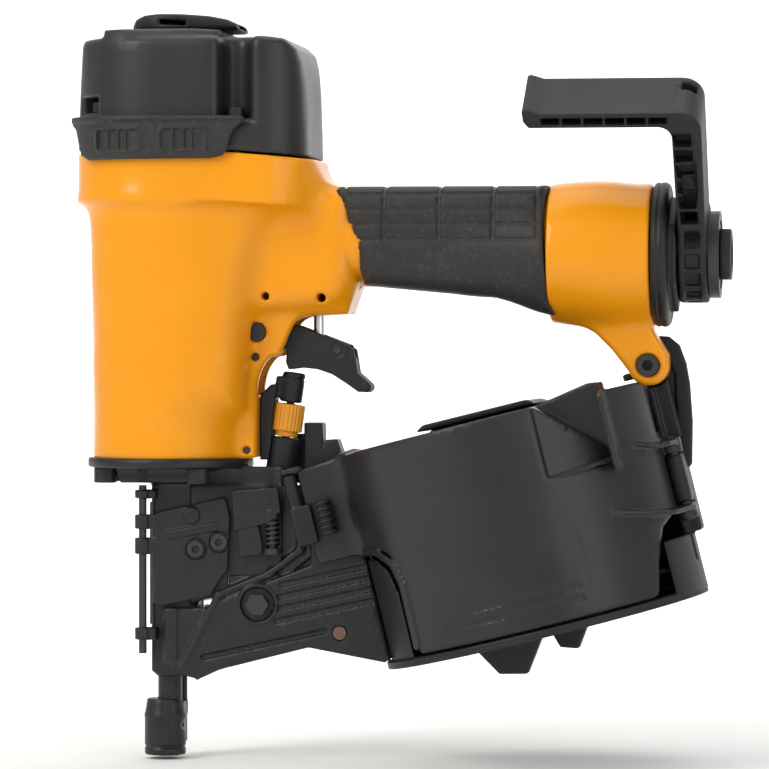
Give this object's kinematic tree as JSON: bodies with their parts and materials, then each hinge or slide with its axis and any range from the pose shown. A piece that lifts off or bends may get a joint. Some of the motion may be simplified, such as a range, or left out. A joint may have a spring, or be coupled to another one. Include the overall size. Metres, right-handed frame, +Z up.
{
  "type": "coil roofing nailer",
  "caption": "Hand-held pneumatic coil nailer: painted metal barrel and grip, dark head cap, black nose with contact trip, tilted drum magazine under the grip, swivelling hook and air inlet.",
  "frame": {"origin": "centre of the nail exit at the nose tip, on the drive axis", "axes": "+Z up the drive axis from nose to head, +X rearward along the grip to the air inlet, -Y to the tool's left side where the drum door opens"},
  "size_m": [0.2502, 0.125, 0.2827],
  "materials": {
    "orange_paint": "gloss",
    "orange_plastic": "matte",
    "satin_shell": "satin",
    "black_plastic": "matte",
    "grip_rubber": "matte",
    "pad_rubber": "matte",
    "brown_plug": "matte",
    "label_film": "satin",
    "bright_steel": "brushed",
    "black_steel": "satin"
  },
  "bodies": {
    "frame": {"housing": "orange_paint", "grip_sleeve": "grip_rubber", "head_cap": "satin_shell", "cap_gasket": "grip_rubber", "cap_bolts": "black_steel", "side_pads": "pad_rubber", "deflector_screw": "bright_steel", "cylinder_sleeve": "bright_steel", "bumper": "grip_rubber", "head_valve_spring": "bright_steel", "end_cap": "black_plastic", "end_cap_seal": "grip_rubber", "air_inlet": "black_steel", "hook_washer": "black_steel", "trigger_pin": "black_steel", "valve_body": "black_plastic", "roll_pins": "black_steel", "nose_frame": "black_steel", "nose_bolts": "black_steel", "door_rod": "black_steel", "latch_pin": "black_steel", "latch_spring": "black_steel", "trip_guide": "black_plastic", "trip_tube": "black_plastic", "magazine_arm": "black_plastic", "arm_bolt": "black_steel", "arm_plug": "brown_plug", "canister": "black_plastic", "hinge_pin": "black_steel", "leg_bolt": "black_steel", "feed_cylinder": "black_plastic", "feed_spring": "bright_steel"},
    "deflector": {"exhaust_deflector": "black_plastic"},
    "drive": {"piston": "bright_steel", "driver_blade": "bright_steel"},
    "firing_valve": {"head_valve": "black_plastic"},
    "hook": {"rafter_hook": "black_plastic", "hook_label": "label_film"},
    "trigger_body": {"trigger": "black_plastic", "lever_pin": "black_steel"},
    "safety_lever": {"trigger_lever": "bright_steel"},
    "stem": {"valve_stem": "bright_steel"},
    "trip": {"contact_foot": "black_steel", "trip_rod": "black_steel"},
    "wheel": {"depth_wheel": "orange_plastic"},
    "nose_cover": {"nose_door": "black_steel", "door_screws": "black_steel"},
    "cover_latch": {"door_latch": "black_steel"},
    "drum_door": {"canister_door": "satin_shell", "latch_knob": "black_plastic"},
    "drum_latch": {"canister_latch": "black_plastic"},
    "tray": {"nail_tray": "black_plastic"},
    "feeder": {"feed_piston": "bright_steel"},
    "pawl": {"feed_pawl": "bright_steel"}
  },
  "joints": [
    {"name": "deflector_turn", "type": "hinge", "parent": "frame", "child": "deflector", "pos_m": [0.002, 0, 0.279], "axis": [0, 0, 1], "continuous": true},
    {"name": "drive_stroke", "type": "slide", "parent": "frame", "child": "drive", "axis": [0, 0, -1], "range_m": [0, 0.08]},
    {"name": "firing_valve_lift", "type": "slide", "parent": "frame", "child": "firing_valve", "axis": [0, 0, 1], "range_m": [0, 0.004], "stiffness_N_per_m": 400, "springref_m": -0.004, "deforming": ["head_valve_spring"]},
    {"name": "hook_swing", "type": "hinge", "parent": "frame", "child": "hook", "pos_m": [0.2, 0, 0.191], "axis": [1, 0, 0], "range_deg": [-134, 60]},
    {"name": "trigger_pull", "type": "hinge", "parent": "frame", "child": "trigger_body", "pos_m": [0.0354, 0, 0.1619], "axis": [0, -1, 0], "range_deg": [0, 12], "stiffness_Nm_per_rad": 0.5, "springref_deg": -8.59},
    {"name": "lever_swing", "type": "hinge", "parent": "trigger_body", "child": "safety_lever", "pos_m": [0.0657, 0, 0.155], "axis": [0, 1, 0], "range_deg": [0, 8], "stiffness_Nm_per_rad": 0.05, "springref_deg": -5.73},
    {"name": "stem_lift", "type": "slide", "parent": "frame", "child": "stem", "axis": [0, 0, 1], "range_m": [0, 0.0048]},
    {"name": "trip_press", "type": "slide", "parent": "frame", "child": "trip", "axis": [0, 0, 1], "range_m": [0, 0.008], "stiffness_N_per_m": 400, "springref_m": -0.01},
    {"name": "wheel_turn", "type": "hinge", "parent": "frame", "child": "wheel", "pos_m": [0.046, 0, 0.1295], "axis": [0.1392, 0, 0.9903], "continuous": true},
    {"name": "nose_cover_swing", "type": "hinge", "parent": "frame", "child": "nose_cover", "pos_m": [-0.0082, -0.0126, 0.08], "axis": [0, 0, -1], "range_deg": [0, 120]},
    {"name": "cover_latch_swing", "type": "hinge", "parent": "frame", "child": "cover_latch", "pos_m": [0.042, -0.013, 0.09], "axis": [0, 0, 1], "range_deg": [0, 50], "stiffness_Nm_per_rad": 0.02, "springref_deg": -11.46},
    {"name": "drum_door_swing", "type": "hinge", "parent": "frame", "child": "drum_door", "pos_m": [0.19587, -0.009, 0.10588], "axis": [-0.2419, 0, 0.9703], "range_deg": [0, 100]},
    {"name": "drum_latch_swing", "type": "hinge", "parent": "drum_door", "child": "drum_latch", "pos_m": [0.05296, -0.017, 0.09086], "axis": [0.2419, 0, -0.9703], "range_deg": [0, 80], "stiffness_Nm_per_rad": 0.02, "springref_deg": -11.46},
    {"name": "tray_lift", "type": "slide", "parent": "frame", "child": "tray", "axis": [-0.2419, 0, 0.9703], "range_m": [0, 0.03]},
    {"name": "feed_stroke", "type": "slide", "parent": "frame", "child": "feeder", "axis": [1, 0, 0], "range_m": [0, 0.008], "stiffness_N_per_m": 300, "springref_m": -0.006, "deforming": ["feed_spring"]},
    {"name": "pawl_tip", "type": "hinge", "parent": "feeder", "child": "pawl", "pos_m": [0.007, 0.0185, 0.06], "axis": [0, 0, 1], "range_deg": [0, 20], "stiffness_Nm_per_rad": 0.01, "springref_deg": -11.46}
  ],
  "couplings": [
    {"joint": "stem_lift", "follows": "trigger_pull", "m_per_rad": 0.0222}
  ]
}
